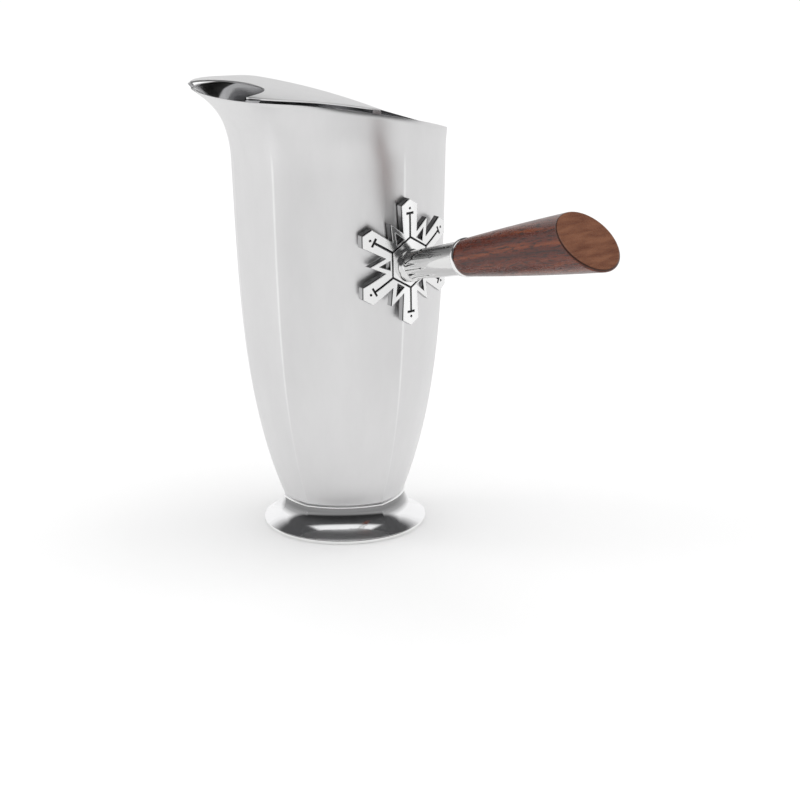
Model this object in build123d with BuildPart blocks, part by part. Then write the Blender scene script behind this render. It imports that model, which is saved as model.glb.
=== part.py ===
"""Silver cocktail pitcher with a side handle, millimetres.

The origin is the middle of the foot's underside, +Z is up, the spout points along -Y
and the handle stands out along +X.
"""

import os
from math import atan2, cos, degrees, exp, radians, sin, tan

from build123d import *

os.makedirs("parts", exist_ok=True)

# Body: six bowed panels, narrow ones at the front and the back
neck_radius = 31.4
shoulder_radius = 54.3
shoulder_drop = 34.7
belly_share = 0.8
belly_power = 3.7
wall = 1.2
floor_thickness = 1.4
narrow_panel_angle = 36.0
neck_bow = 0.72
shoulder_bow = 0.855
ridge_fade_drop = 37.7
ridge_fade_length = 17.0

# Rim and spout
tip_reach = 77.6
tip_height = 230.5
side_rim_drop = 13.2
back_rim_drop = 32.3
flare_depth = 44.1
flare_power = 2.74
flare_half_angle = 36.7
flare_squareness = 3.18

# Foot
foot_radius = 40.9
foot_ring_height = 2.2
foot_ring_width = 3.0
foot_ring_edge = 0.65
foot_height = 15.0
foot_curve = 2.6
foot_panel_hold = 0.4
foot_wall = 1.2
neck_wire_height = 1.4
neck_wire_proud = 0.7
neck_wire_edge = 0.6

# Ice guard over the front of the mouth
guard_gap = 1.7
guard_thickness = 0.8
guard_inset = 0.4
guard_rear = 12.8
guard_crown = 1.7
pour_depth = 29.0
pour_radius = 24.0
lug_length = 4.0

# Snowflake mount
flake_height = 146.6
flake_radius = 31.6
flake_back_reach = 54.1
flake_thickness = 3.7
flake_bend = 62.0
flake_squeeze = 0.93
arm_root_width = 6.8
arm_end_width = 10.2
arm_point = 3.0
star_tip_radius = 23.6
star_shoulder_radius = 12.5
star_width = 9.5
window_inner_radius = 12.2
window_outer_radius = 18.6
window_width = 5.0
groove_width = 1.1
groove_depth = 0.7
groove_end = 24.6
tick_length = 4.6
hexagon_radius = 12.6
dot_place = 27.0
dot_radius = 0.6
seat_radius = 11.0

# Handle
handle_drop = 1.5
handle_rise = 16.3
ferrule_root_radius = 8.2
ferrule_root_length = 1.2
ferrule_waist_radius = 7.0
ferrule_waist_length = 5.0
ferrule_end_radius = 8.5
ferrule_length = 44.4
ferrule_wall = 1.3
collar_length = 2.6
collar_proud = 0.5
collar_edge = 0.9
grip_start_radius = 9.1
grip_end_radius = 14.3
grip_length = 90.6
grip_swell = 0.6
grip_slant = 37.0
grip_edge = 1.2
tenon_length = 24.0
tang_radius = 3.0
tang_in_grip = 45.0
fit = 0.15

# Places that follow from the sizes above
body_base = foot_height + neck_wire_height
shoulder_height = tip_height - shoulder_drop
side_rim_height = tip_height - side_rim_drop
flare_start = tip_height - flare_depth
ridge_fade_start = tip_height - ridge_fade_drop
form_margin = 8.0
rim_overrun = 30.0
form_top = tip_height + form_margin
beyond = 400.0
flake_face_reach = flake_back_reach + flake_thickness
flake_bend_axis = flake_face_reach - flake_bend
half_narrow = narrow_panel_angle / 2
ridge_angles = [0, 90 - half_narrow, 90 + half_narrow, 180, 270 - half_narrow, 270 + half_narrow, 360]
points_per_panel = 7
flare_sections = 6
outline_points = 25
guard_overrun = 8.0
guard_margin = 5.0
crown_sections = 7
arms = 6
handle_height = flake_height - handle_drop
rim_drop = back_rim_drop - side_rim_drop
rim_bend = (side_rim_drop / tip_reach - rim_drop / shoulder_radius) / (tip_reach + shoulder_radius)
rim_slope = side_rim_drop / tip_reach - rim_bend * tip_reach


def body_radius(z):
    """Ridge radius of the body: it swells quickly above the neck and straightens towards the rim."""
    t = min((z - body_base) / (shoulder_height - body_base), 1.0)
    swell = belly_share * (1 - (1 - t) ** belly_power) + (1 - belly_share) * t
    return neck_radius + (shoulder_radius - neck_radius) * swell


def body_bow(z):
    """How round a panel is: it grows steadily from the neck up, and is a full circle near the rim."""
    climb = min((z - body_base) / (ridge_fade_start - body_base), 1.0)
    bow = neck_bow + (shoulder_bow - neck_bow) * climb
    t = min(max((z - ridge_fade_start) / ridge_fade_length, 0.0), 1.0)
    return bow + (1 - bow) * t * t * (3 - 2 * t)


def flare(angle, z):
    """Outward reach of the spout at an angle and a height."""
    if z <= flare_start:
        return 0.0
    off_axis = abs((angle - 270 + 180) % 360 - 180)
    spread = exp(-((off_axis / flare_half_angle) ** flare_squareness))
    climb = ((z - flare_start) / flare_depth) ** flare_power
    return (tip_reach - shoulder_radius) * spread * climb


def panelled_section(z, radius, bow, inset=0.0, with_flare=False):
    """One closed horizontal section of six bowed panels."""
    with BuildSketch(Plane.XY.offset(z)) as section:
        with BuildLine():
            for start, end in zip(ridge_angles, ridge_angles[1:]):
                half = radians(end - start) / 2
                points = []
                for i in range(points_per_panel):
                    angle = start + (end - start) * i / (points_per_panel - 1)
                    off = radians(angle - start) - half
                    reach = (1 - bow) * radius * cos(half) / cos(off) + bow * radius - inset
                    reach += flare(angle, z) if with_flare else 0.0
                    points.append((reach * cos(radians(angle)), reach * sin(radians(angle))))
                Spline(*points)
        make_face()
    return section.sketch


def rim_height(s):
    """Height of the rim at a distance s from the axis towards the spout: a parabola."""
    return side_rim_height + rim_slope * s + rim_bend * s * s


def rim_curve(lift):
    """Control points (Y, Z) of the rim parabola, raised by lift, from behind the body to past the tip."""
    back, front = -shoulder_radius - rim_overrun, tip_reach + rim_overrun
    back_slope = rim_slope + 2 * rim_bend * back
    middle = (back + front) / 2
    middle_height = rim_height(back) + back_slope * (middle - back)
    heights = ((back, rim_height(back)), (middle, middle_height), (front, rim_height(front)))
    return [(-s, height + lift) for s, height in heights]


def rim_slab(lift, thickness):
    """Solid layer that follows the rim curve across the whole mouth."""
    lower = rim_curve(lift)
    upper = rim_curve(lift + thickness)
    with BuildPart() as slab:
        with BuildSketch(Plane.YZ):
            with BuildLine():
                Bezier(*lower)
                Line(lower[-1], upper[-1])
                Bezier(*reversed(upper))
                Line(upper[0], lower[0])
            make_face()
        extrude(amount=beyond, both=True)
    return slab.part


# The vessel's outer form and the space inside it, both taller than the rim
form_shares = [0.0, 0.05, 0.12, 0.22, 0.35, 0.5, 0.68, 0.82, 0.92, 1.0]
form_heights = [body_base + (ridge_fade_start - body_base) * share for share in form_shares]
form_heights += [ridge_fade_start + (form_top - ridge_fade_start) * (i + 1) / flare_sections
                 for i in range(flare_sections)]
outer_sections = [panelled_section(z, body_radius(z), body_bow(z), 0.0, True) for z in form_heights]
inner_sections = [panelled_section(z, body_radius(z), body_bow(z), wall, True) for z in form_heights]
above_rim = rim_slab(0.0, beyond)
lug_layer = rim_slab(0.0, guard_gap + fit)

with BuildPart() as vessel_form:
    loft(outer_sections)

with BuildPart() as vessel_space:
    loft(inner_sections)

# Body shell, trimmed to the sloping rim
with BuildPart() as body_shell:
    add(vessel_form.part)
    add(vessel_space.part, mode=Mode.SUBTRACT)
    add(above_rim, mode=Mode.SUBTRACT)
body_shell.part.label = "body_shell"
export_step(body_shell.part, "parts/body_shell.step")

# Floor let into the bottom of the shell
with BuildPart() as body_floor:
    add(vessel_space.part)
    with Locations((0, 0, body_base)):
        Box(beyond, beyond, 2 * floor_thickness, mode=Mode.INTERSECT)
body_floor.part.label = "body_floor"
export_step(body_floor.part, "parts/body_floor.step")

# Wire round the joint of body and foot
with BuildPart() as neck_wire:
    extrude(panelled_section(foot_height, neck_radius + neck_wire_proud, neck_bow), amount=neck_wire_height)
    fillet(neck_wire.edges().filter_by(Axis.Z, reverse=True), neck_wire_edge)
    extrude(
        panelled_section(foot_height, neck_radius, neck_bow, foot_wall),
        amount=neck_wire_height,
        mode=Mode.SUBTRACT,
    )
neck_wire.part.label = "neck_wire"
export_step(neck_wire.part, "parts/neck_wire.step")


def foot_section(share, inset):
    """Section of the foot at a share of its height, 0 at the ring and 1 at the neck."""
    z = foot_ring_height + (foot_height - foot_ring_height) * share
    radius = neck_radius + (foot_radius - neck_radius) * (1 - share) ** foot_curve
    bow = 1 + (neck_bow - 1) * share**foot_panel_hold
    return panelled_section(z, radius, bow, inset)


# Hollow flared foot, panelled at the neck and round at the ring
foot_shares = [0.0, 0.08, 0.2, 0.36, 0.56, 0.78, 1.0]
foot_outside = [foot_section(share, 0.0) for share in foot_shares]
foot_inside = [foot_section(share, foot_wall) for share in foot_shares]
with BuildPart() as foot:
    loft(foot_outside)
    loft(foot_inside, mode=Mode.SUBTRACT)
foot.part.label = "foot"
export_step(foot.part, "parts/foot.step")

# Ring under the foot
with BuildPart() as foot_ring:
    with BuildSketch():
        Circle(foot_radius)
        Circle(foot_radius - foot_ring_width, mode=Mode.SUBTRACT)
    extrude(amount=foot_ring_height)
    outer_edges = foot_ring.edges().filter_by(GeomType.CIRCLE).sort_by(SortBy.RADIUS)[-2:]
    fillet(outer_edges, foot_ring_edge)
foot_ring.part.label = "foot_ring"
export_step(foot_ring.part, "parts/foot_ring.step")


def rim_outline(inset):
    """Points (X, Y) of the rim seen from above, from one rear corner of the guard round the tip."""
    rear_angle = degrees(atan2(shoulder_radius, guard_rear)) + guard_overrun
    points = []
    for i in range(outline_points):
        angle = 270 - rear_angle + 2 * rear_angle * i / (outline_points - 1)
        reach = shoulder_radius - inset + flare(angle, tip_height)
        points.append((reach * cos(radians(angle)), reach * sin(radians(angle))))
    return points


def half_width(s):
    """Half the width of the guard's outline at a distance s from the axis towards the spout."""
    low, high = 0.0, degrees(atan2(shoulder_radius, guard_rear)) + guard_overrun
    for _ in range(outline_points):
        middle = (low + high) / 2
        reach = shoulder_radius - guard_inset + flare(270 + middle, tip_height)
        low, high = (middle, high) if reach * cos(radians(middle)) > s else (low, middle)
    return reach * sin(radians(middle))


def crowned_layer(lift, thickness):
    """Solid layer over the front of the mouth that follows the rim and is crowned from side to side."""
    pour_middle = tip_reach - pour_depth + pour_radius
    first, last = guard_rear - guard_margin, pour_middle - guard_inset
    with BuildPart() as layer:
        for i in range(crown_sections):
            s = first + (last - first) * i / (crown_sections - 1)
            width = half_width(s) + guard_margin
            crest = rim_height(s) + lift + guard_crown
            edge = crest - guard_crown * (width / half_width(s)) ** 2
            top_edge, top_crest = edge + thickness, crest + thickness
            with BuildSketch(Plane((0, -s, 0), x_dir=(1, 0, 0), z_dir=(0, -1, 0))):
                with BuildLine():
                    ThreePointArc((-width, edge), (0, crest), (width, edge))
                    Line((width, edge), (width, top_edge))
                    ThreePointArc((width, top_edge), (0, top_crest), (-width, top_edge))
                    Line((-width, top_edge), (-width, edge))
                make_face()
        loft()
    return layer.part


# Ice guard: a crowned plate over the front of the mouth, open at the tip of the spout
with BuildPart() as ice_guard:
    with BuildSketch():
        outline = rim_outline(guard_inset)
        with BuildLine():
            Spline(*outline)
            Line(outline[-1], outline[0])
        make_face()
        with Locations((0, -guard_rear + beyond / 2)):
            Rectangle(beyond, beyond, mode=Mode.SUBTRACT)
        with Locations((0, -(tip_reach - pour_depth + pour_radius))):
            Circle(pour_radius, mode=Mode.SUBTRACT)
    extrude(amount=beyond)
    add(crowned_layer(guard_gap, guard_thickness), mode=Mode.INTERSECT)
ice_guard.part.label = "ice_guard"
export_step(ice_guard.part, "parts/ice_guard.step")

# Lugs that carry the guard on the rim, two at its rear corners and two at the ends of its horns
horn_end = tip_reach - pour_depth + pour_radius - lug_length
lug_places = [(side * tip_reach, -guard_rear - lug_length / 2) for side in (-1, 1)]
lug_places += [(side * tip_reach, -horn_end) for side in (-1, 1)]
with BuildPart() as guard_lugs:
    with Locations(*[(x, y, side_rim_height) for x, y in lug_places]):
        Box(2 * tip_reach - fit, lug_length, beyond)
    add(vessel_form.part, mode=Mode.INTERSECT)
    add(vessel_space.part, mode=Mode.SUBTRACT)
    add(lug_layer, mode=Mode.INTERSECT)
    add(crowned_layer(guard_gap, beyond), mode=Mode.SUBTRACT)
guard_lugs.part.label = "guard_lugs"
export_step(guard_lugs.part, "parts/guard_lugs.step")

# Handle frame: the axis rises from the snowflake's face, a little below its middle
rise = radians(handle_rise)
handle_root = Vector(flake_face_reach, 0, handle_height)
handle_axis = Axis(handle_root, (cos(rise), 0, sin(rise)))
handle_plane = Plane(handle_root, x_dir=(-sin(rise), 0, cos(rise)), z_dir=(0, 1, 0))
flake_plane = Plane((0, 0, flake_height), x_dir=(0, 1, 0), z_dir=(1, 0, 0))
behind_face = flake_face_reach / cos(rise)


def turned(profile, cuts=()):
    """Solid turned about the handle axis from (radius, distance along the axis) points."""
    with BuildPart() as solid:
        with BuildSketch(handle_plane):
            with BuildLine():
                Polyline(*profile, close=True)
            make_face()
        revolve(axis=handle_axis)
        for cut in cuts:
            add(cut, mode=Mode.SUBTRACT)
    return solid.part


def rod(radius, start, end):
    """Plain rod on the handle axis."""
    return turned([(0, start), (radius, start), (radius, end), (0, end)])


# Columns that bend the snowflake: its face, its back and the floor of its grooves
with BuildPart() as flake_column:
    with Locations((flake_bend_axis, 0, flake_height)):
        Cylinder(flake_bend, beyond)

with BuildPart() as seat_column:
    with Locations((flake_bend_axis, 0, flake_height)):
        Cylinder(flake_bend - flake_thickness, beyond)

with BuildPart() as groove_floor:
    with Locations((flake_bend_axis, 0, flake_height)):
        Cylinder(flake_bend - groove_depth, beyond)

grip_start = ferrule_length + collar_length
tang_bore = rod(tang_radius + fit, -behind_face, grip_start + tang_in_grip + fit)

# Angles of the snowflake's arms, and of the star points between them
arm_angles = [90 + 360 / arms * i for i in range(arms)]
star_angles = [angle + 180 / arms for angle in arm_angles]


def spun(points, angle):
    """Points turned by an angle about the snowflake's middle, squeezed sideways and drawn in by the bend."""
    turn = radians(angle)
    flat = [(x * cos(turn) - y * sin(turn), x * sin(turn) + y * cos(turn)) for x, y in points]
    return [(flake_bend * sin(flake_squeeze * across / flake_bend), height) for across, height in flat]


def mirrored(half):
    """Closed outline from one half of it, given from the middle outwards."""
    return half + [(x, -y) for x, y in reversed(half) if y != 0]


arm_outline = mirrored(
    [
        (0, arm_root_width / 2),
        (flake_radius - arm_point, arm_end_width / 2),
        (flake_radius, 0),
    ]
)
star_outline = mirrored([(0, star_width / 2), (star_shoulder_radius, star_width / 2), (star_tip_radius, 0)])
window_outline = mirrored([(window_inner_radius, window_width / 2), (window_outer_radius, 0)])
line_outline = mirrored([(hexagon_radius, groove_width / 2), (groove_end, groove_width / 2)])
tick_outline = mirrored(
    [(groove_end - groove_width / 2, tick_length / 2), (groove_end + groove_width / 2, tick_length / 2)]
)
hexagon_outer = [spun([(hexagon_radius + groove_width / 2, 0)], angle)[0] for angle in arm_angles]
hexagon_inner = [spun([(hexagon_radius - groove_width / 2, 0)], angle)[0] for angle in arm_angles]

with BuildPart() as grooves:
    with BuildSketch(flake_plane):
        Polygon(*hexagon_outer, align=None)
        Polygon(*hexagon_inner, align=None, mode=Mode.SUBTRACT)
        for angle in arm_angles:
            Polygon(*spun(line_outline, angle), align=None)
            Polygon(*spun(tick_outline, angle), align=None)
            with Locations(spun([(dot_place, 0)], angle)[0]):
                Circle(dot_radius)
    extrude(amount=beyond)
    add(groove_floor.part, mode=Mode.SUBTRACT)

# Snowflake: six flaring arms and a pierced star, bent over the ridge of the body
with BuildPart() as snowflake:
    with BuildSketch(flake_plane):
        for angle in arm_angles:
            Polygon(*spun(arm_outline, angle), align=None)
        for angle in star_angles:
            Polygon(*spun(star_outline, angle), align=None)
        for angle in star_angles:
            Polygon(*spun(window_outline, angle), align=None, mode=Mode.SUBTRACT)
    extrude(amount=beyond)
    add(flake_column.part, mode=Mode.INTERSECT)
    add(seat_column.part, mode=Mode.SUBTRACT)
    add(grooves.part, mode=Mode.SUBTRACT)
    add(tang_bore, mode=Mode.SUBTRACT)
snowflake.part.label = "snowflake"
export_step(snowflake.part, "parts/snowflake.step")

# Seat that fills the space between the ridge of the body and the snowflake
with BuildPart() as flake_seat:
    with BuildSketch(flake_plane):
        RegularPolygon(seat_radius, 6)
    extrude(amount=beyond)
    add(seat_column.part, mode=Mode.INTERSECT)
    add(vessel_form.part, mode=Mode.SUBTRACT)
    add(tang_bore, mode=Mode.SUBTRACT)
flake_seat.part.label = "flake_seat"
export_step(flake_seat.part, "parts/flake_seat.step")

# Tang from the body wall through the ferrule into the grip
with BuildPart() as grip_tang:
    add(rod(tang_radius, -flake_thickness - seat_radius, grip_start + tang_in_grip))
    add(vessel_form.part, mode=Mode.SUBTRACT)
grip_tang.part.label = "grip_tang"
export_step(grip_tang.part, "parts/grip_tang.step")

# Tapered ferrule with a flared root that sits on the snowflake
socket_start = ferrule_length - tenon_length
socket_taper = (ferrule_end_radius - ferrule_waist_radius) / (ferrule_length - ferrule_waist_length)


def ferrule_radius(along):
    """Outer radius of the ferrule's straight taper at a distance along the axis."""
    return ferrule_end_radius - socket_taper * (ferrule_length - along)


root_dip = 2 * ferrule_root_radius * tan(rise)
ferrule_solid = turned(
    [
        (0, -root_dip),
        (ferrule_root_radius, -root_dip),
        (ferrule_root_radius, ferrule_root_length),
        (ferrule_radius(ferrule_waist_length), ferrule_waist_length),
        (ferrule_end_radius, ferrule_length),
        (0, ferrule_length),
    ]
)
socket = turned(
    [
        (0, socket_start),
        (ferrule_radius(socket_start) - ferrule_wall, socket_start),
        (ferrule_end_radius - ferrule_wall, ferrule_length),
        (0, ferrule_length),
    ]
)
with BuildPart() as ferrule:
    add(ferrule_solid)
    add(flake_column.part, mode=Mode.SUBTRACT)
    add(socket, mode=Mode.SUBTRACT)
    add(tang_bore, mode=Mode.SUBTRACT)
ferrule.part.label = "ferrule"
export_step(ferrule.part, "parts/ferrule.step")

# Collar between the ferrule and the wood
collar_radius = grip_start_radius + collar_proud
tenon_end_radius = ferrule_end_radius - ferrule_wall - fit
with BuildPart() as ferrule_collar:
    add(
        turned(
            [
                (tenon_end_radius + fit, ferrule_length),
                (collar_radius, ferrule_length),
                (collar_radius, grip_start),
                (tenon_end_radius + fit, grip_start),
            ]
        )
    )
    fillet(ferrule_collar.edges().filter_by(GeomType.CIRCLE).sort_by(SortBy.RADIUS)[-2:], collar_edge)
ferrule_collar.part.label = "ferrule_collar"
export_step(ferrule_collar.part, "parts/ferrule_collar.step")

# Wooden grip: a tenon, a swelling cone and a slanted end
grip_end = grip_start + grip_length
grip_past = 2 * grip_end_radius * tan(radians(grip_slant))
grip_taper = (grip_end_radius - grip_start_radius) / grip_length
grip_tip_radius = grip_end_radius + grip_taper * grip_past
swell_radius = (grip_start_radius + grip_tip_radius) / 2 + grip_swell
with BuildPart() as wood_grip:
    with BuildSketch(handle_plane):
        with BuildLine():
            Polyline(
                (grip_tip_radius, grip_end + grip_past),
                (0, grip_end + grip_past),
                (0, socket_start + fit),
                (ferrule_radius(socket_start) - ferrule_wall - fit, socket_start + fit),
                (tenon_end_radius, ferrule_length),
                (tenon_end_radius, grip_start),
                (grip_start_radius, grip_start),
            )
            ThreePointArc(
                (grip_start_radius, grip_start),
                (swell_radius, (grip_start + grip_end + grip_past) / 2),
                (grip_tip_radius, grip_end + grip_past),
            )
        make_face()
    revolve(axis=handle_axis)
    end_middle = handle_root + Vector(cos(rise), 0, sin(rise)) * grip_end
    slant = rise + radians(grip_slant)
    split(bisect_by=Plane(end_middle, z_dir=(cos(slant), 0, sin(slant))), keep=Keep.BOTTOM)
    end_face = wood_grip.faces().sort_by(Axis(end_middle, (cos(slant), 0, sin(slant))))[-1]
    fillet(end_face.edges(), grip_edge)
    add(tang_bore, mode=Mode.SUBTRACT)
wood_grip.part.label = "wood_grip"
export_step(wood_grip.part, "parts/wood_grip.step")
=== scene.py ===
import math

import bmesh
import bpy
import numpy as np
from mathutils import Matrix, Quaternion, Vector


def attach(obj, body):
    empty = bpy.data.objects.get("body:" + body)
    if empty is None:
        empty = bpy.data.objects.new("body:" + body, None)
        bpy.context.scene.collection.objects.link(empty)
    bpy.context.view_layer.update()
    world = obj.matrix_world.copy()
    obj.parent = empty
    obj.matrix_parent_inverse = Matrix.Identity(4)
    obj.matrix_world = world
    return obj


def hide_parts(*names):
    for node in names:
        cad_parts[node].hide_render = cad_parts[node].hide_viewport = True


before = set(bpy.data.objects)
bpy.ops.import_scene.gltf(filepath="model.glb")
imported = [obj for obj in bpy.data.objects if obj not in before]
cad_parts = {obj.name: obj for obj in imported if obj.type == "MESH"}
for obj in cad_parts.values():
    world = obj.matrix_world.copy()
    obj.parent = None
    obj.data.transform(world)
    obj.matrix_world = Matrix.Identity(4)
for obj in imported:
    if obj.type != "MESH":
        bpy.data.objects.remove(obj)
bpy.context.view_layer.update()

mm = 0.001
print("frame loaded:", len(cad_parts), "nodes")

# material helpers


def newMaterial(name):
    material = bpy.data.materials.new(name)
    material.use_nodes = True
    tree = material.node_tree
    shader = tree.nodes["Principled BSDF"]
    return material, tree, shader


def newSilver(name):
    material, tree, shader = newMaterial(name)
    shader.inputs["Metallic"].default_value = 1.0
    return material, tree, shader


levelOnly = (1, 1, 0)  # a scale that drops the height


# object coordinates moved, turned and scaled for one pattern
def patternSpace(tree, scale=(1, 1, 1), location=(0, 0, 0), turn=(0, 0, 0)):
    coordinates = tree.nodes.new("ShaderNodeTexCoord")
    place = tree.nodes.new("ShaderNodeMapping")
    place.vector_type = "TEXTURE"
    place.inputs["Location"].default_value = location
    place.inputs["Rotation"].default_value = turn
    stretch = tree.nodes.new("ShaderNodeMapping")
    stretch.inputs["Scale"].default_value = scale
    tree.links.new(coordinates.outputs["Object"], place.inputs["Vector"])
    tree.links.new(place.outputs["Vector"], stretch.inputs["Vector"])
    return stretch.outputs["Vector"]


def noise(tree, space, detail=3.0, roughness=0.5, distortion=0.0):
    node = tree.nodes.new("ShaderNodeTexNoise")
    node.inputs["Scale"].default_value = 1.0
    node.inputs["Detail"].default_value = detail
    node.inputs["Roughness"].default_value = roughness
    node.inputs["Distortion"].default_value = distortion
    tree.links.new(space, node.inputs["Vector"])
    return node.outputs["Fac"]


# stops are pairs of a place and a colour
def ramp(tree, source, stops):
    node = tree.nodes.new("ShaderNodeValToRGB")
    band, stops = node.color_ramp, list(stops)
    while len(band.elements) < len(stops):
        band.elements.new(0.5)
    for element, (place, colour) in zip(band.elements, stops):
        element.position = place
        element.color = (*colour, 1.0)
    tree.links.new(source, node.inputs["Fac"])
    return node.outputs["Color"]


# map one range of a value to another
def spread(tree, source, low, high, fromLow=0.3, fromHigh=0.7):
    node = tree.nodes.new("ShaderNodeMapRange")
    node.inputs["From Min"].default_value = fromLow
    node.inputs["From Max"].default_value = fromHigh
    node.inputs["To Min"].default_value = low
    node.inputs["To Max"].default_value = high
    tree.links.new(source, node.inputs["Value"])
    return node.outputs["Result"]


def blendColours(tree, kind, factor, first, second):
    node = tree.nodes.new("ShaderNodeMix")
    node.data_type = "RGBA"
    node.blend_type = kind
    if isinstance(factor, float):
        node.inputs["Factor"].default_value = factor
    else:
        tree.links.new(factor, node.inputs["Factor"])
    tree.links.new(first, node.inputs["A"])
    if isinstance(second, tuple):
        node.inputs["B"].default_value = (*second, 1.0)
    else:
        tree.links.new(second, node.inputs["B"])
    return node.outputs["Result"]


def bump(tree, shader, height, strength, distance):
    node = tree.nodes.new("ShaderNodeBump")
    node.inputs["Strength"].default_value = strength
    node.inputs["Distance"].default_value = distance
    tree.links.new(height, node.inputs["Height"])
    tree.links.new(node.outputs["Normal"], shader.inputs["Normal"])


# finishes
satinLook = {
    "dark": (0.715, 0.712, 0.715), "light": (0.735, 0.732, 0.735), "toneStops": (0.35, 0.65),
    "cloudScale": (90, 90, 30), "cloudNoise": {"detail": 4.0, "roughness": 0.6},
    "smooth": 0.31, "rough": 0.36, "rubScale": (700, 700, 160), "rubNoise": {"detail": 3.0, "roughness": 0.6},
    # the next colour and its two strengths paint a highlight on the ridges
    "highlightColour": (0.93, 0.93, 0.93), "highlightLow": 0.35, "highlightHigh": 0.75,
}


def satinSilver():
    material, tree, shader = newSilver("satinSilver")
    clouds = noise(tree, patternSpace(tree, satinLook["cloudScale"]), **satinLook["cloudNoise"])
    colour = ramp(tree, clouds, zip(satinLook["toneStops"], (satinLook["dark"], satinLook["light"])))
    # painted highlight: the ridges are painted brighter, unevenly along their length, in place of the
    # highlight on their rounded edges
    ridge = tree.nodes.new("ShaderNodeAttribute")
    ridge.attribute_name = "ridgeHighlight"
    highlight = tree.nodes.new("ShaderNodeMath")
    highlight.operation = "MULTIPLY"
    tree.links.new(ridge.outputs["Fac"], highlight.inputs[0])
    tree.links.new(spread(tree, clouds, satinLook["highlightLow"], satinLook["highlightHigh"]), highlight.inputs[1])
    tree.links.new(blendColours(tree, "MIX", highlight.outputs[0], colour, satinLook["highlightColour"]),
                   shader.inputs["Base Color"])
    rub = noise(tree, patternSpace(tree, satinLook["rubScale"]), **satinLook["rubNoise"])
    tree.links.new(spread(tree, rub, satinLook["smooth"], satinLook["rough"]), shader.inputs["Roughness"])
    return material


# polish: bright on the rings, a little greyer and smoother on the ferrule
hazeLook = {"scale": (220, 220, 220), "noise": {"detail": 5.0, "roughness": 0.65}}
polishLook = {"colour": (0.90, 0.90, 0.895), "smooth": 0.05, "rough": 0.13}
ferruleLook = {"colour": (0.77, 0.77, 0.765), "smooth": 0.03, "rough": 0.08}


# a fine haze that roughens the polish unevenly
def hazePolish(tree, shader, look):
    haze = noise(tree, patternSpace(tree, hazeLook["scale"]), **hazeLook["noise"])
    tree.links.new(spread(tree, haze, look["smooth"], look["rough"]), shader.inputs["Roughness"])


def polishedSilver(name, look):
    material, tree, shader = newSilver(name)
    shader.inputs["Base Color"].default_value = (*look["colour"], 1.0)
    hazePolish(tree, shader, look)
    return material


# even silver: a lining darker and smoother than the outside, its darker colour painted shade for the inside
# and for the lugs under the guard, and a bead brighter than the body
shadedLiningLook = {"colour": (0.35, 0.35, 0.36), "roughness": 0.16}
beadLook = {"colour": (0.93, 0.93, 0.93), "roughness": 0.30}


def evenSilver(name, look):
    material, _, shader = newSilver(name)
    shader.inputs["Base Color"].default_value = (*look["colour"], 1.0)
    shader.inputs["Roughness"].default_value = look["roughness"]
    return material


# snowflake: bright faces, dark in the grooves and round the edges, and a paler grey lower down the sides
flakeLook = {
    "bendAxis": -4.2 * mm, "faceRadius": 62.0 * mm,
    "setBack": 0.20 * mm, "blur": 0.15 * mm, "edge": 0.55 * mm,
    "bright": (0.86, 0.86, 0.86), "dark": (0.03, 0.03, 0.032), "smooth": 0.16, "rough": 0.30,
    "sideRadius": 61.1 * mm, "side": (0.55, 0.55, 0.555),
}


def flakeSilver():
    material, tree, shader = newSilver("flakeSilver")
    fromAxis = patternSpace(tree, levelOnly, (flakeLook["bendAxis"], 0, 0))
    reach = tree.nodes.new("ShaderNodeVectorMath")
    reach.operation = "LENGTH"
    tree.links.new(fromAxis, reach.inputs[0])
    edge = flakeLook["faceRadius"] - flakeLook["setBack"]
    face = spread(tree, reach.outputs["Value"], 0.0, 1.0, edge - flakeLook["blur"], edge + flakeLook["blur"])
    colour = ramp(tree, face, [(0.0, flakeLook["dark"]), (1.0, flakeLook["bright"])])
    below = spread(tree, reach.outputs["Value"], 1.0, 0.0, flakeLook["sideRadius"] - flakeLook["blur"],
                   flakeLook["sideRadius"])
    tree.links.new(blendColours(tree, "MIX", below, colour, flakeLook["side"]), shader.inputs["Base Color"])
    tree.links.new(spread(tree, face, flakeLook["rough"], flakeLook["smooth"], 0.0, 1.0),
                   shader.inputs["Roughness"])
    rounding = tree.nodes.new("ShaderNodeBevel")
    rounding.inputs["Radius"].default_value = flakeLook["edge"]
    tree.links.new(rounding.outputs["Normal"], shader.inputs["Normal"])
    return material


# foot: polished, with a painted dark reflection that darkens it towards the bead
footLook = {
    "top": 15 * mm, "smooth": 0.06, "rough": 0.14, "blueness": 1.01,
    # the tones paint the dark reflection on the foot's upper part
    "tones": [(0.0, 0.9), (0.52, 0.88), (0.68, 0.36), (0.86, 0.22), (1.0, 0.26)],
}


def footPaintedReflection():
    material, tree, shader = newSilver("footPaintedReflection")
    height = tree.nodes.new("ShaderNodeSeparateXYZ")
    tree.links.new(patternSpace(tree), height.inputs["Vector"])
    share = spread(tree, height.outputs["Z"], 0.0, 1.0, 0.0, footLook["top"])
    tones = [(place, (tone, tone, tone * footLook["blueness"])) for place, tone in footLook["tones"]]
    tree.links.new(ramp(tree, share, tones), shader.inputs["Base Color"])
    hazePolish(tree, shader, footLook)
    return material


handle = {
    "root": (57.8 * mm, 0.0, 145.1 * mm),
    "rise": 16.3,
    "sides": 128, "sharp": 50,
}
riseAngle = math.radians(handle["rise"])

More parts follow.
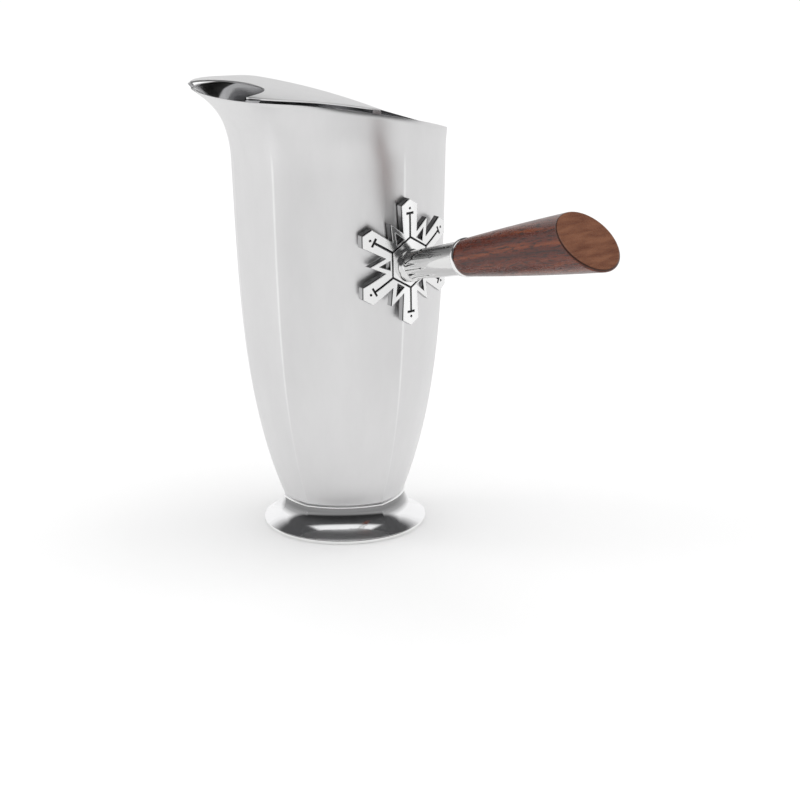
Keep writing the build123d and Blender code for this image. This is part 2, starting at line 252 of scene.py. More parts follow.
woodLook = {
    "deep": (0.046, 0.010, 0.006),
    "middle": (0.100, 0.016, 0.005),
    "light": (0.240, 0.058, 0.014),
    "rim": (0.030, 0.010, 0.007),
    "pore": (0.022, 0.008, 0.006),
    "endLight": (0.225, 0.095, 0.052),
    "endDark": (0.140, 0.053, 0.030),
    "bandScale": (9, 70, 260), "bandNoise": {"detail": 5.0, "roughness": 0.6, "distortion": 0.5},
    "bandStops": (0.30, 0.5, 0.72),
    "poreScale": (170, 1300, 1300), "poreNoise": {"detail": 2.0, "roughness": 0.5},
    "poreDepth": 0.85, "poreFrom": 0.36, "poreTo": 0.48,
    "endScale": (60, 80, 520), "endNoise": {"detail": 4.0, "roughness": 0.6, "distortion": 0.3},
    "endStops": (0.35, 0.65),
    "rimDepth": 0.9, "rimStops": (0.1, 0.4, 0.8, 1.0),
    "rough": 0.34, "smooth": 0.24, "gloss": 0.4,
    "bumpStrength": 0.10, "bumpDistance": 0.3 * mm,
}


def gripWood():
    material, tree, shader = newMaterial("gripWood")
    place = {"location": handle["root"], "turn": (0, -riseAngle, 0)}
    bands = noise(tree, patternSpace(tree, woodLook["bandScale"], **place), **woodLook["bandNoise"])
    sideTones = (woodLook["deep"], woodLook["middle"], woodLook["light"])
    sideColour = ramp(tree, bands, zip(woodLook["bandStops"], sideTones))
    pores = noise(tree, patternSpace(tree, woodLook["poreScale"], **place), **woodLook["poreNoise"])
    poreMask = spread(tree, pores, woodLook["poreDepth"], 0.0, woodLook["poreFrom"], woodLook["poreTo"])
    sideColour = blendColours(tree, "MIX", poreMask, sideColour, woodLook["pore"])
    endBands = noise(tree, patternSpace(tree, woodLook["endScale"], **place), **woodLook["endNoise"])
    endColour = ramp(tree, endBands, zip(woodLook["endStops"], (woodLook["endDark"], woodLook["endLight"])))
    endMask = tree.nodes.new("ShaderNodeAttribute")
    endMask.attribute_name = "endFace"
    colour = blendColours(tree, "MIX", endMask.outputs["Fac"], sideColour, endColour)
    # a dark line where the end face meets the side
    clear, full = (0.0,) * 3, (woodLook["rimDepth"],) * 3
    rimMask = ramp(tree, endMask.outputs["Fac"], zip(woodLook["rimStops"], (clear, full, full, clear)))
    colour = blendColours(tree, "MIX", rimMask, colour, woodLook["rim"])
    tree.links.new(colour, shader.inputs["Base Color"])
    tree.links.new(spread(tree, pores, woodLook["rough"], woodLook["smooth"]), shader.inputs["Roughness"])
    shader.inputs["Specular IOR Level"].default_value = woodLook["gloss"]
    bump(tree, shader, pores, woodLook["bumpStrength"], woodLook["bumpDistance"])
    return material


satin, shadedLining = satinSilver(), evenSilver("shadedLiningSilver", shadedLiningLook)
polished = polishedSilver("polishedSilver", polishLook)
ferruleMetal = polishedSilver("ferruleSilver", ferruleLook)
flake, bead, wood = flakeSilver(), evenSilver("beadSilver", beadLook), gripWood()
footMetal = footPaintedReflection()
print("finishes made")

# mesh helpers

mergeWithin = 1e-7
settleRounds = 40  # repeats of a substitution until it stands still


# a grid of points (rows, columns, 3) as one closed skin of quads, with poles and seams merged
def gridMesh(name, points, joinRows=True, joinColumns=True):
    rows, columns = points.shape[:2]
    index = np.arange(rows * columns).reshape(rows, columns)
    if joinRows:
        index = np.concatenate([index, index[:1]], axis=0)
    if joinColumns:
        index = np.concatenate([index, index[:, :1]], axis=1)
    corners = [index[:-1, :-1], index[:-1, 1:], index[1:, 1:], index[1:, :-1]]
    quads = np.stack(corners, axis=-1).reshape(-1, 4)
    mesh = bpy.data.meshes.new(name)
    mesh.from_pydata(points.reshape(-1, 3).tolist(), [], quads.tolist())
    work = bmesh.new()
    work.from_mesh(mesh)
    bmesh.ops.remove_doubles(work, verts=work.verts, dist=mergeWithin)
    bmesh.ops.recalc_face_normals(work, faces=work.faces)
    work.to_mesh(mesh)
    work.free()
    return mesh


def finishPiece(name, mesh, material, nodes, sharpAngle):
    mesh.shade_smooth()
    mesh.set_sharp_from_angle(angle=math.radians(sharpAngle))
    mesh.materials.append(material)
    piece = bpy.data.objects.new(name, mesh)
    bpy.context.scene.collection.objects.link(piece)
    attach(piece, "root")
    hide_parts(*nodes)
    return piece


# body: six bowed panels that run into a round rim and a flared spout

body = {
    "base": 16.4, "neckRadius": 31.4, "shoulderRadius": 54.3, "shoulderHeight": 195.8,
    "bellyShare": 0.8, "bellyPower": 3.7, "wall": 1.2, "neckBow": 0.72, "shoulderBow": 0.855,
    "fadeStart": 192.8, "fadeLength": 17.0,
    "ridges": (0, 72, 108, 180, 252, 288, 360), "ridgeSoftness": 0.9, "panelStep": 2.4,
    "rows": 90, "innerRows": 60, "edge": 0.35, "rimShares": (0.2, 0.5, 0.8), "sharp": 60, "inwardFrom": -0.5,
    # the last three numbers set how the painted ridge highlight fades
    "highlightFade": 9.0, "highlightRise": 80.0, "highlightLeast": 0.3,
}
spout = {
    "turn": 270, "reach": 77.6, "height": 230.5, "sideDrop": 13.2, "backDrop": 32.3,
    "flareDepth": 44.1, "flarePower": 2.74, "halfAngle": 36.7, "squareness": 3.18,
}


# angles round the pitcher in degrees, with a close pair beside each ridge
def ridgeAngles():
    runs = []
    for start, end in zip(body["ridges"], body["ridges"][1:]):
        count = int((end - start) / body["panelStep"])
        inside = np.linspace(start + body["ridgeSoftness"], end - body["ridgeSoftness"], count)
        runs.append(np.concatenate([[start], inside]))
    return np.concatenate(runs)


# reach of a bowed panel = (1 - bow) R cos(half) / cos(off) + bow R, off = angle from the panel's middle
def panelReach(angle, radius, bow):
    edges = np.array(body["ridges"], float)
    panel = np.clip(np.searchsorted(edges, angle, side="right") - 1, 0, len(edges) - 2)
    half = np.radians(edges[panel + 1] - edges[panel]) / 2
    off = np.radians(angle - edges[panel]) - half
    return (1 - bow) * radius * np.cos(half) / np.cos(off) + bow * radius


# ridge radius = neck + (shoulder - neck) (share (1 - (1 - t)^power) + (1 - share) t), t = height share
def bodyRadius(z):
    t = np.clip((z - body["base"]) / (body["shoulderHeight"] - body["base"]), 0, 1)
    swell = body["bellyShare"] * (1 - (1 - t) ** body["bellyPower"]) + (1 - body["bellyShare"]) * t
    return body["neckRadius"] + (body["shoulderRadius"] - body["neckRadius"]) * swell


# bow = neck + (shoulder - neck) climb, then up to 1 by a smooth step, so the ridges fade out below the rim
def bodyBow(z):
    climb = np.clip((z - body["base"]) / (body["fadeStart"] - body["base"]), 0, 1)
    bow = body["neckBow"] + (body["shoulderBow"] - body["neckBow"]) * climb
    t = np.clip((z - body["fadeStart"]) / body["fadeLength"], 0, 1)
    return bow + (1 - bow) * t * t * (3 - 2 * t)


# flare = (tip reach - R) exp(-(off / half)^squareness) (climb share)^power
def flare(angle, z):
    off = np.abs((angle - spout["turn"] + 180) % 360 - 180)
    spreadShare = np.exp(-((off / spout["halfAngle"]) ** spout["squareness"]))
    climb = np.clip((z - spout["height"]) / spout["flareDepth"] + 1, 0, None) ** spout["flarePower"]
    return (spout["reach"] - body["shoulderRadius"]) * spreadShare * climb


# reach of the wall = reach of the bowed panel - inset + flare
def bodyReach(angle, z, inset):
    return panelReach(angle, bodyRadius(z), bodyBow(z)) - inset + flare(angle, z)


# rim height = side + slope s + bend s^2, s = distance towards the spout
def rimHeight(s):
    drop = spout["backDrop"] - spout["sideDrop"]
    frontSlope, backSlope = spout["sideDrop"] / spout["reach"], drop / body["shoulderRadius"]
    bend = (frontSlope - backSlope) / (spout["reach"] + body["shoulderRadius"])
    slope = frontSlope - bend * spout["reach"]
    return spout["height"] - spout["sideDrop"] + slope * s + bend * s * s


# where the wall at each angle meets the rim curve, by repeated substitution
def rimOf(angle, inset):
    z = np.full_like(angle, spout["height"] - spout["sideDrop"])
    for _ in range(settleRounds):
        s = -bodyReach(angle, z, inset) * np.sin(np.radians(angle))
        z = 0.5 * (z + rimHeight(s))
    return z


# point = (reach cos(angle), reach sin(angle), z)
def polar(angle, reach, z):
    turn = np.radians(angle)
    return np.stack(np.broadcast_arrays(reach * np.cos(turn), reach * np.sin(turn), z), axis=-1)


# outer wall up, over the softened rim, inner wall down
def bodyPoints():
    angle = ridgeAngles()
    outerRim, innerRim = rimOf(angle, 0.0), rimOf(angle, body["wall"])
    up = np.linspace(0, 1, body["rows"])[:, None]
    outerZ = body["base"] + (outerRim - body["edge"] - body["base"]) * up
    outer = polar(angle, bodyReach(angle, outerZ, 0.0), outerZ)
    outerTop = polar(angle, bodyReach(angle, outerRim, 0.0), outerRim)
    innerTop = polar(angle, bodyReach(angle, innerRim, body["wall"]), innerRim)
    across = np.array(body["rimShares"])[:, None, None]
    rim = outerTop + (innerTop - outerTop) * across
    down = np.linspace(1, 0, body["innerRows"])[:, None]
    innerZ = body["base"] + (innerRim - body["edge"] - body["base"]) * down
    inner = polar(angle, bodyReach(angle, innerZ, body["wall"]), innerZ)
    return np.concatenate([outer, rim, inner]) * mm


bodyPiece = finishPiece("bodyWall", gridMesh("bodyWall", bodyPoints()), satin,
                        ["body_shell"], body["sharp"])


# give the lining, whose darker colour is painted shade, to the faces that look towards the axis
def lineInside(piece):
    mesh = piece.data
    mesh.materials.append(shadedLining)
    count = len(mesh.polygons)
    middle, facing = np.empty(count * 3), np.empty(count * 3)
    mesh.polygons.foreach_get("center", middle)
    mesh.polygons.foreach_get("normal", facing)
    middle, facing = middle.reshape(-1, 3), facing.reshape(-1, 3)
    outward = np.sum(middle[:, :2] * facing[:, :2], axis=1) / np.hypot(middle[:, 0], middle[:, 1])
    inside = outward < body["inwardFrom"]
    mesh.polygons.foreach_set("material_index", inside.astype(np.int32))


# painted ridge highlight = 1 on a ridge and 0 beside it, less towards the foot and fading out below the round
# rim
def paintRidgeHighlights(piece):
    mesh = piece.data
    points = np.empty(len(mesh.vertices) * 3)
    mesh.vertices.foreach_get("co", points)
    points = points.reshape(-1, 3) / mm
    angle = np.degrees(np.arctan2(points[:, 1], points[:, 0])) % 360
    off = np.min(np.abs(angle[:, None] - np.array(body["ridges"], float)), axis=1)
    fade = np.clip((body["fadeStart"] + body["highlightFade"] - points[:, 2]) / body["highlightFade"], 0, 1)
    rise = np.clip((points[:, 2] - body["base"]) / body["highlightRise"], body["highlightLeast"], 1)
    highlight = (off < body["ridgeSoftness"] / 2) * fade * rise
    mesh.attributes.new("ridgeHighlight", "FLOAT", "POINT").data.foreach_set("value", highlight)


lineInside(bodyPiece)
paintRidgeHighlights(bodyPiece)
print("body made")

# foot: panelled at the neck, round at the ring, with a bead above and a flat ring below

foot = {
    "radius": 40.9, "ringHeight": 2.2, "ringWidth": 3.0, "ringEdge": 0.65, "height": 15.0,
    "curve": 2.6, "panelHold": 0.4, "wall": 1.2, "beadProud": 0.7, "beadHeight": 1.4,
    "rows": 48, "sides": 192, "beadSteps": 13, "ringSteps": 6, "sharp": 60,
}


# foot radius = neck + (foot - neck) (1 - share)^curve, bow = 1 + (neck bow - 1) share^hold
def footRows(inset):
    angle = ridgeAngles()
    share = np.linspace(0, 1, foot["rows"])[:, None]
    z = foot["ringHeight"] + (foot["height"] - foot["ringHeight"]) * share
    radius = body["neckRadius"] + (foot["radius"] - body["neckRadius"]) * (1 - share) ** foot["curve"]
    bow = 1 + (body["neckBow"] - 1) * share ** foot["panelHold"]
    return polar(angle, panelReach(angle, radius, bow) - inset, z)


footPoints = np.concatenate([footRows(0.0), footRows(foot["wall"])[::-1]]) * mm
finishPiece("footFlare", gridMesh("footFlare", footPoints), footMetal, ["foot"],
            foot["sharp"])


# bead: a half round along the neck's panelled outline
# reach = neck + proud cos(swing), z = middle + half sin(swing)
def beadPoints():
    angle = ridgeAngles()
    swing = np.radians(np.linspace(-90, 90, foot["beadSteps"]))[:, None]
    half = foot["beadHeight"] / 2
    middle = foot["height"] + half
    neck = panelReach(angle, body["neckRadius"], body["neckBow"])
    outer = polar(angle, neck + foot["beadProud"] * np.cos(swing), middle + half * np.sin(swing))
    back = polar(angle, neck - foot["wall"], np.array([[middle + half], [middle - half]]))
    return np.concatenate([outer, back]) * mm


finishPiece("neckBead", gridMesh("neckBead", beadPoints()), bead, ["neck_wire"],
            foot["sharp"])


# ring: a flat band turned about the axis, outer edges rounded as (R - e + e sin(q), e - e cos(q))
def ringPoints():
    angle = np.linspace(0, 360, foot["sides"], endpoint=False)
    edge, outside = foot["ringEdge"], foot["radius"]
    quarter = np.radians(np.linspace(0, 90, foot["ringSteps"]))
    low = np.stack([outside - edge + edge * np.sin(quarter), edge - edge * np.cos(quarter)], axis=-1)
    high = np.stack([low[::-1, 0], foot["ringHeight"] - low[::-1, 1]], axis=-1)
    inside = outside - foot["ringWidth"]
    profile = np.concatenate([[[inside, 0.0]], low, high, [[inside, foot["ringHeight"]]]])
    return polar(angle, profile[:, :1], profile[:, 1:]) * mm


finishPiece("footRing", gridMesh("footRing", ringPoints()), polished, ["foot_ring"],
            foot["sharp"])
print("foot made")

# ice guard: a plate between a straight rear edge and a front edge that follows the rim and the pour cut

guard = {
    "gap": 1.7, "thickness": 0.8, "inset": 0.4, "rear": 12.8, "crown": 1.67,
    "pourDepth": 29.0, "pourRadius": 24.0,
    "columns": 240, "rows": 40, "edge": 0.22, "edgeSegments": 2, "sharp": 40,
    "sweep": (170, 370, 4001), "cutSteps": 400,
}


def guardPoints():
    angle = np.linspace(*guard["sweep"])
    reach = body["shoulderRadius"] - guard["inset"] + flare(angle, spout["height"])
    edgeX, edgeS = reach * np.cos(np.radians(angle)), -reach * np.sin(np.radians(angle))
    pourMiddle = spout["reach"] - guard["pourDepth"] + guard["pourRadius"]
    fromPour = np.hypot(edgeX, edgeS - pourMiddle)
    kept = (edgeS >= guard["rear"]) & (fromPour >= guard["pourRadius"])
    left, right = kept & (edgeX < 0), kept & (edgeX > 0)
    leftRun = np.stack([edgeX[left], edgeS[left]], axis=-1)
    rightRun = np.stack([edgeX[right], edgeS[right]], axis=-1)
    # pour cut: an arc of the pour circle from the left corner to the right one
    start = np.arctan2(leftRun[-1, 0], pourMiddle - leftRun[-1, 1])
    swing = np.linspace(start, -start, guard["cutSteps"])
    cutX = guard["pourRadius"] * np.sin(swing)
    cutS = pourMiddle - guard["pourRadius"] * np.cos(swing)
    front = np.concatenate([leftRun, np.stack([cutX, cutS], axis=-1)[1:-1], rightRun])
    length = np.concatenate([[0], np.cumsum(np.hypot(*np.diff(front, axis=0).T))])
    even = np.linspace(0, length[-1], guard["columns"])
    frontX, frontS = np.interp(even, length, front[:, 0]), np.interp(even, length, front[:, 1])
    rearX = np.linspace(front[0, 0], front[-1, 0], guard["columns"])
    share = np.linspace(0, 1, guard["rows"])[:, None]
    x = rearX + (frontX - rearX) * share
    s = guard["rear"] + (frontS - guard["rear"]) * share
    # height = rim + gap + crown (1 - (x / half width)^2)
    rightSide = (edgeX > 0) & (edgeS > 0)
    order = np.argsort(edgeS[rightSide])
    halfWidth = np.interp(s, edgeS[rightSide][order], edgeX[rightSide][order])
    z = rimHeight(s) + guard["gap"] + guard["thickness"] / 2 + guard["crown"] * (1 - (x / halfWidth) ** 2)
    return np.stack([x, -s, z], axis=-1) * mm


guardPiece = finishPiece("iceGuard", gridMesh("iceGuard", guardPoints(), False, False), satin,
                         ["ice_guard"], guard["sharp"])
wall = guardPiece.modifiers.new("wall", "SOLIDIFY")
wall.thickness, wall.offset = guard["thickness"] * mm, 0.0
soft = guardPiece.modifiers.new("soft", "BEVEL")
soft.width, soft.segments, soft.limit_method = guard["edge"] * mm, guard["edgeSegments"], "ANGLE"
print("guard made")

# handle: pieces turned about an axis that rises from the snowflake

axisAlong = np.array([math.cos(riseAngle), 0, math.sin(riseAngle)])
axisUp = np.array([-math.sin(riseAngle), 0, math.cos(riseAngle)])
axisSide = np.array([0, 1, 0])
axisRoot = np.array(handle["root"]) / mm
swing = np.radians(np.linspace(0, 360, handle["sides"], endpoint=False))
around = np.cos(swing)[:, None] * axisUp + np.sin(swing)[:, None] * axisSide
ferrule = {
    "start": -3.0, "length": 44.4, "waistRadius": 6.8, "endRadius": 8.5, "rootRadius": 8.2,
    "rootLength": 1.2, "rootCurve": 1.7, "rows": 60, "endEdge": 0.3,
}
collar = {"length": 2.6, "radius": 9.6, "bore": 7.2, "edge": 0.9, "steps": 7}
grip = {
    "start": 47.0, "startRadius": 9.1, "end": 137.6, "endRadius": 14.3, "swell": 0.6, "slant": 37.0,
    "uncut": 112.1, "edge": 1.2, "edgeSteps": 9, "startEdge": 0.4, "rows": 90, "faceRows": 24,
    "faceFrom": 1.1, "faceFade": 1.0,
}


# point = root + along a + radius (up cos(swing) + side sin(swing)), one row of points for each row of lengths
def turnedPoints(along, radius):
    far, reach, _ = np.broadcast_arrays(along, radius, swing)
    return axisRoot + far[..., None] * axisAlong + reach[..., None] * around


# ferrule radius = straight taper + a root swell that dies off as a bell curve
def ferrulePoints():
    along = np.linspace(ferrule["start"], ferrule["length"] - ferrule["endEdge"], ferrule["rows"])
    taper = ferrule["endRadius"] - ferrule["waistRadius"]
    radius = ferrule["waistRadius"] + taper * np.clip(along, 0, None) / ferrule["length"]
    past = np.clip(along - ferrule["rootLength"], 0, None) / ferrule["rootCurve"]
    radius = radius + (ferrule["rootRadius"] - ferrule["waistRadius"]) * np.exp(-past ** 2)
    along = np.concatenate([[along[0]], along, [ferrule["length"], ferrule["length"]]])
    radius = np.concatenate([[0], radius, [ferrule["endRadius"] - ferrule["endEdge"], 0]])
    return turnedPoints(along[:, None], radius[:, None]) * mm


finishPiece("ferruleTube", gridMesh("ferruleTube", ferrulePoints(), joinRows=False), ferruleMetal,
            ["ferrule"], handle["sharp"])


# collar: a band turned about the handle, edges rounded as (e (1 - sin(q)), R - e (1 - cos(q)))
def collarPoints():
    quarter = np.radians(np.linspace(0, 90, collar["steps"]))
    edge = collar["edge"]
    far, reach = edge * (1 - np.sin(quarter)), collar["radius"] - edge * (1 - np.cos(quarter))
    low = np.stack([far, reach], axis=-1)[::-1]
    high = np.stack([collar["length"] - low[::-1, 0], low[::-1, 1]], axis=-1)
    profile = np.concatenate([[[0, collar["bore"]]], low, high, [[collar["length"], collar["bore"]]]])
    return turnedPoints(ferrule["length"] + profile[:, :1], profile[:, 1:]) * mm


finishPiece("ferruleBand", gridMesh("ferruleBand", collarPoints()), polished,
            ["ferrule_collar"], handle["sharp"])


# grip radius = straight taper + swell (1 - (2t - 1)^2), t = share of the length before the slanted cut
def gripRadius(along):
    far = along - grip["start"]
    taper = (grip["endRadius"] - grip["startRadius"]) / (grip["end"] - grip["start"])
    return grip["startRadius"] + taper * far + grip["swell"] * (1 - (2 * far / grip["uncut"] - 1) ** 2)


# side up to the slanted cut, round its edge, then the end face
def gripPoints():
    lean = math.tan(math.radians(grip["slant"]))
    last = np.full_like(swing, grip["end"])
    for _ in range(settleRounds):
        last = grip["end"] - gripRadius(last) * np.cos(swing) * lean
    corner = turnedPoints(last, gripRadius(last))
    middle = axisRoot + grip["end"] * axisAlong
    inward = middle - corner
    inward = inward / np.linalg.norm(inward, axis=-1, keepdims=True)
    back = turnedPoints(last - 1, gripRadius(last - 1)) - corner
    back = back / np.linalg.norm(back, axis=-1, keepdims=True)
    # the rounding starts edge / tan(half) from the corner, half = half the angle between side and end face
    half = np.arccos(np.sum(inward * back, axis=-1)) / 2
    cut = grip["edge"] / np.tan(half)
    inner = corner + inward * cut[:, None]
    share = np.linspace(0, 1, grip["rows"])[:, None]
    along = grip["start"] + grip["startEdge"] + (last - cut - grip["start"] - grip["startEdge"]) * share
    side = turnedPoints(along, gripRadius(along))
    # rounded edge: a circle's arc as a rational quadratic, the corner its handle with the weight sin(half)
    t = np.linspace(0, 1, grip["edgeSteps"])[1:-1, None, None]
    pull = 2 * t * (1 - t) * np.sin(half)[:, None]
    rounded = ((1 - t) ** 2 * side[-1] + pull * corner + t * t * inner) / ((1 - t) ** 2 + pull + t * t)
    shrink = np.linspace(1, 0, grip["faceRows"])[:, None, None]
    face = middle + (inner - middle) * shrink
    startFace = turnedPoints(grip["start"], np.array([[0.0], [grip["startRadius"] - grip["startEdge"]]]))
    return np.concatenate([startFace, side, rounded, face]) * mm


gripPiece = finishPiece("woodGrip", gridMesh("woodGrip", gripPoints(), joinRows=False), wood,
                        ["wood_grip"], handle["sharp"])


# mark the slanted face, where the grain is cut across
def markEndFace(piece):
    mesh = piece.data
    points = np.empty(len(mesh.vertices) * 3)
    mesh.vertices.foreach_get("co", points)
    slant = riseAngle + math.radians(grip["slant"])
    facing = np.array([math.cos(slant), 0, math.sin(slant)])
    middle = axisRoot + grip["end"] * axisAlong
    depth = (points.reshape(-1, 3) / mm - middle) @ facing
    mask = np.clip((depth + grip["faceFrom"]) / grip["faceFade"], 0, 1)
    mesh.attributes.new("endFace", "FLOAT", "POINT").data.foreach_set("value", mask)


markEndFace(gripPiece)
print("handle made")

# nodes that keep their solid shape get the finishes
# the inside floor and the lugs under the guard take the lining's painted shade
for nodeName, material in {"body_floor": shadedLining, "guard_lugs": shadedLining, "flake_seat": polished,
                           "grip_tang": polished, "snowflake": flake}.items():
    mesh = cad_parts[nodeName].data
    mesh.materials.clear()
    mesh.materials.append(material)

# studio

studio = {
    "floorSize": 8.0, "floorColour": (0.985, 0.985, 0.985), "worldLight": 0.97,
    "floorRoughness": 0.9, "nearFade": (0.08, 0.22), "tableTurn": 54, "bandFrom": 57, "bandTo": 76,
    "tableFront": 0.92, "tableNear": 0.87, "tableMiddle": 0.80, "tableBand": 1.0, "tableSide": 0.88,
    "nearWidth": 0.14, "bandBlur": 0.02,
    "domeRadius": 3.0, "domeSides": 96, "domeRows": 30, "domeColour": (0.03, 0.03, 0.032),
    "domeLift": 0.4, "liftFrom": -0.1, "liftTo": 0.5,
    "domeCover": [(0.0, 0.0), (0.08, 0.1), (0.24, 0.95), (0.84, 0.95), (0.90, 0.1), (1.0, 0.0)],
}


def flatMesh(name, width):
    points = np.array([[[-1, -1, 0], [1, -1, 0]], [[-1, 1, 0], [1, 1, 0]]], float) * width / 2
    return gridMesh(name, points, False, False)


def stageObject(name, mesh, material):
    mesh.materials.append(material)
    item = bpy.data.objects.new(name, mesh)
    bpy.context.scene.collection.objects.link(item)
    return item


floorMaterial, floorTree, floorShader = newMaterial("paleFloor")
floorShader.inputs["Roughness"].default_value = studio["floorRoughness"]
floorShader.inputs["Specular IOR Level"].default_value = 0.0


# table tone in reflections: a bright band on each side of the viewing direction, greyer between and beyond
# angle from the viewing direction = arccos(floor direction . viewing direction)
def tableTone(tree):
    facing = tree.nodes.new("ShaderNodeVectorMath")
    facing.operation = "NORMALIZE"
    tree.links.new(patternSpace(tree, levelOnly), facing.inputs[0])
    along = tree.nodes.new("ShaderNodeVectorMath")
    along.operation = "DOT_PRODUCT"
    turn = math.radians(studio["tableTurn"])
    along.inputs[1].default_value = (math.sin(turn), -math.cos(turn), 0)
    tree.links.new(facing.outputs["Vector"], along.inputs[0])
    angle = tree.nodes.new("ShaderNodeMath")
    angle.operation = "ARCCOSINE"
    tree.links.new(along.outputs["Value"], angle.inputs[0])
    share = spread(tree, angle.outputs[0], 0.0, 1.0, 0.0, math.pi)
    low, high, blur = studio["bandFrom"] / 180, studio["bandTo"] / 180, studio["bandBlur"]
    tones = [(0.0, studio["tableFront"]), (low - studio["nearWidth"], studio["tableNear"]),
             (low - blur, studio["tableMiddle"]), (low + blur, studio["tableBand"]),
             (high - blur, studio["tableBand"]), (high + blur, studio["tableSide"])]
    turned = ramp(tree, share, [(place, (tone, tone, tone)) for place, tone in tones])
    # close to the foot the table is bright, and only further out does the turn matter
    far = tree.nodes.new("ShaderNodeVectorMath")
    far.operation = "LENGTH"
    tree.links.new(patternSpace(tree, levelOnly), far.inputs[0])
    inside = spread(tree, far.outputs["Value"], 1.0, 0.0, *studio["nearFade"])
    return blendColours(tree, "MIX", inside, turned, (1.0, 1.0, 1.0))


tableRays = floorTree.nodes.new("ShaderNodeLightPath")
plainFloor = floorTree.nodes.new("ShaderNodeRGB")
plainFloor.outputs[0].default_value = (*studio["floorColour"], 1.0)
floorTree.links.new(blendColours(floorTree, "MIX", tableRays.outputs["Is Glossy Ray"], plainFloor.outputs[0],
                                 tableTone(floorTree)), floorShader.inputs["Base Color"])
stageObject("studioFloor", flatMesh("studioFloor", studio["floorSize"]), floorMaterial)


# dark room: a dome seen only in reflections, clear at the horizon and overhead and dark between
# point = radius (cos(rise) sin(turn), -cos(rise) cos(turn), sin(rise))
def domePoints():
    turn = np.radians(np.linspace(0, 360, studio["domeSides"], endpoint=False))
    rise = np.radians(np.linspace(0, 90, studio["domeRows"]))[:, None]
    level = np.cos(rise) * studio["domeRadius"]
    height = np.sin(rise) * studio["domeRadius"] + 0 * turn
    return np.stack([level * np.sin(turn), -level * np.cos(turn), height], axis=-1)


domeMaterial, domeTree, domeShader = newMaterial("darkRoom")
domeShader.inputs["Base Color"].default_value = (*studio["domeColour"], 1.0)
domeShader.inputs["Roughness"].default_value = 1.0
domeShader.inputs["Specular IOR Level"].default_value = 0.0
domeHeight = domeTree.nodes.new("ShaderNodeSeparateXYZ")
domeSpace = patternSpace(domeTree)
domeTree.links.new(domeSpace, domeHeight.inputs["Vector"])
domeShare = spread(domeTree, domeHeight.outputs["Z"], 0.0, 1.0, 0.0, studio["domeRadius"])
# behind the pitcher the dark starts higher: share - lift clip((d - from) / (to - from), 0, 1)
# d = direction . away from the camera
domeAway = domeTree.nodes.new("ShaderNodeVectorMath")
domeAway.operation = "DOT_PRODUCT"
awayTurn = math.radians(studio["tableTurn"])
domeAway.inputs[1].default_value = (-math.sin(awayTurn), math.cos(awayTurn), 0)
domeTree.links.new(domeSpace, domeAway.inputs[0])
liftFrom, liftTo = studio["liftFrom"] * studio["domeRadius"], studio["liftTo"] * studio["domeRadius"]
domeLift = spread(domeTree, domeAway.outputs["Value"], 0.0, studio["domeLift"], liftFrom, liftTo)
domeLevel = domeTree.nodes.new("ShaderNodeMath")
domeLevel.operation = "SUBTRACT"
domeTree.links.new(domeShare, domeLevel.inputs[0])
domeTree.links.new(domeLift, domeLevel.inputs[1])
domeStops = [(place, (cover,) * 3) for place, cover in studio["domeCover"]]
domeTree.links.new(ramp(domeTree, domeLevel.outputs[0], domeStops), domeShader.inputs["Alpha"])
dome = stageObject("darkRoom", gridMesh("darkRoom", domePoints(), False, True), domeMaterial)
dome.visible_camera = dome.visible_diffuse = dome.visible_shadow = dome.visible_transmission = False

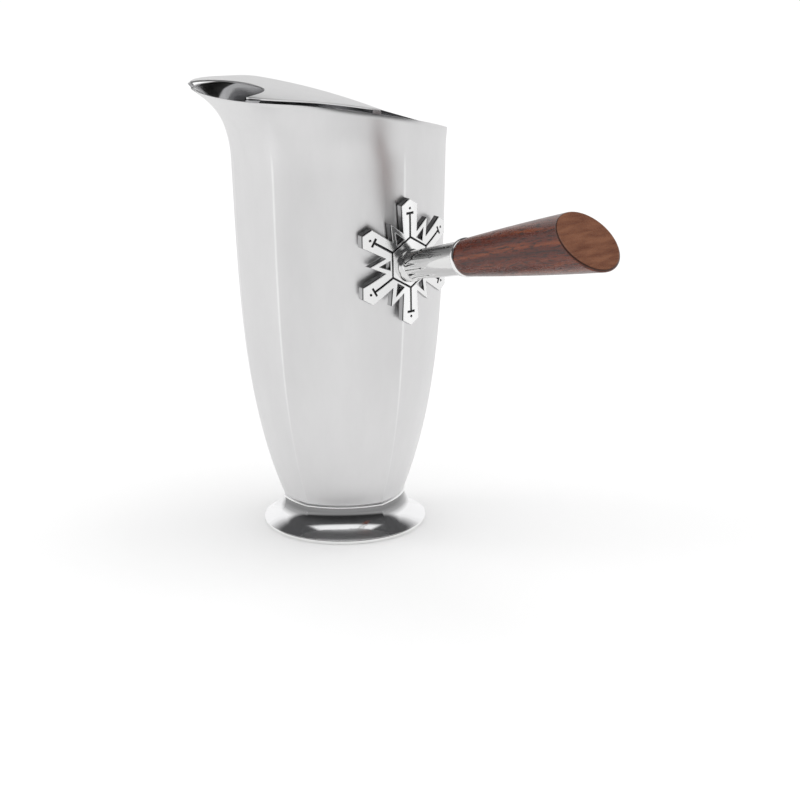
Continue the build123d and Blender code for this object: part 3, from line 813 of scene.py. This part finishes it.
# world: even light, and plain white where the camera, gloss or glass looks at it
world = bpy.data.worlds.new("studioWorld")
bpy.context.scene.world = world
world.use_nodes = True
worldTree = world.node_tree
background = worldTree.nodes["Background"]
rays = worldTree.nodes.new("ShaderNodeLightPath")
seen = worldTree.nodes.new("ShaderNodeMath")
seen.operation = "MAXIMUM"
worldTree.links.new(rays.outputs["Is Camera Ray"], seen.inputs[0])
worldTree.links.new(rays.outputs["Is Glossy Ray"], seen.inputs[1])
seenToo = worldTree.nodes.new("ShaderNodeMath")
seenToo.operation = "MAXIMUM"
worldTree.links.new(seen.outputs[0], seenToo.inputs[0])
worldTree.links.new(rays.outputs["Is Transmission Ray"], seenToo.inputs[1])
worldTree.links.new(spread(worldTree, seenToo.outputs[0], studio["worldLight"], 1.0, 0.0, 1.0),
                    background.inputs["Strength"])
background.inputs["Color"].default_value = (1, 1, 1, 1)


def softBox(name, place, target, size, power):
    lamp = bpy.data.lights.new(name, "AREA")
    lamp.shape, lamp.size, lamp.energy = "SQUARE", size, power
    item = bpy.data.objects.new(name, lamp)
    item.location = place
    item.rotation_euler = (Vector(target) - Vector(place)).to_track_quat("-Z", "Y").to_euler()
    item.visible_glossy = False
    bpy.context.scene.collection.objects.link(item)


lamps = {
    "softBoxLeft": {"place": (-1.1, -1.2, 1.3), "target": (0, 0, 0.12), "size": 0.7, "power": 4},
    "softBoxTop": {"place": (0.3, 0.5, 1.7), "target": (0, 0, 0.1), "size": 0.8, "power": 3},
}
for lampName, lampSettings in lamps.items():
    softBox(lampName, **lampSettings)

# camera at the photograph's viewing angle

shot = {
    "azimuth": 54.03, "elevation": 15.44, "distance": 1.5925, "aim": (0, 0, 0.122), "focal": 3185.0,
    "width": 800.0, "height": 785.0, "aimPixel": (340.9, 286.8), "roll": -1.06, "sensor": 36.0,
}
cameraData = bpy.data.cameras.new("photoCamera")
camera = bpy.data.objects.new("photoCamera", cameraData)
bpy.context.scene.collection.objects.link(camera)
turnAngle, riseView = math.radians(shot["azimuth"]), math.radians(shot["elevation"])
back = Vector((math.sin(turnAngle) * math.cos(riseView), -math.cos(turnAngle) * math.cos(riseView),
               math.sin(riseView)))
camera.location = Vector(shot["aim"]) + back * shot["distance"]
camera.rotation_mode = "QUATERNION"
lookAt = (-back).to_track_quat("-Z", "Y")
camera.rotation_quaternion = lookAt @ Quaternion((0, 0, 1), math.radians(shot["roll"]))
cameraData.sensor_width = shot["sensor"]
cameraData.lens = shot["sensor"] * shot["focal"] / shot["width"]
cameraData.shift_x = (shot["width"] / 2 - shot["aimPixel"][0]) / shot["width"]
cameraData.shift_y = (shot["aimPixel"][1] - shot["height"] / 2) / shot["width"]
bpy.context.scene.camera = camera
bpy.context.scene.view_settings.view_transform = "Standard"
print("studio made")
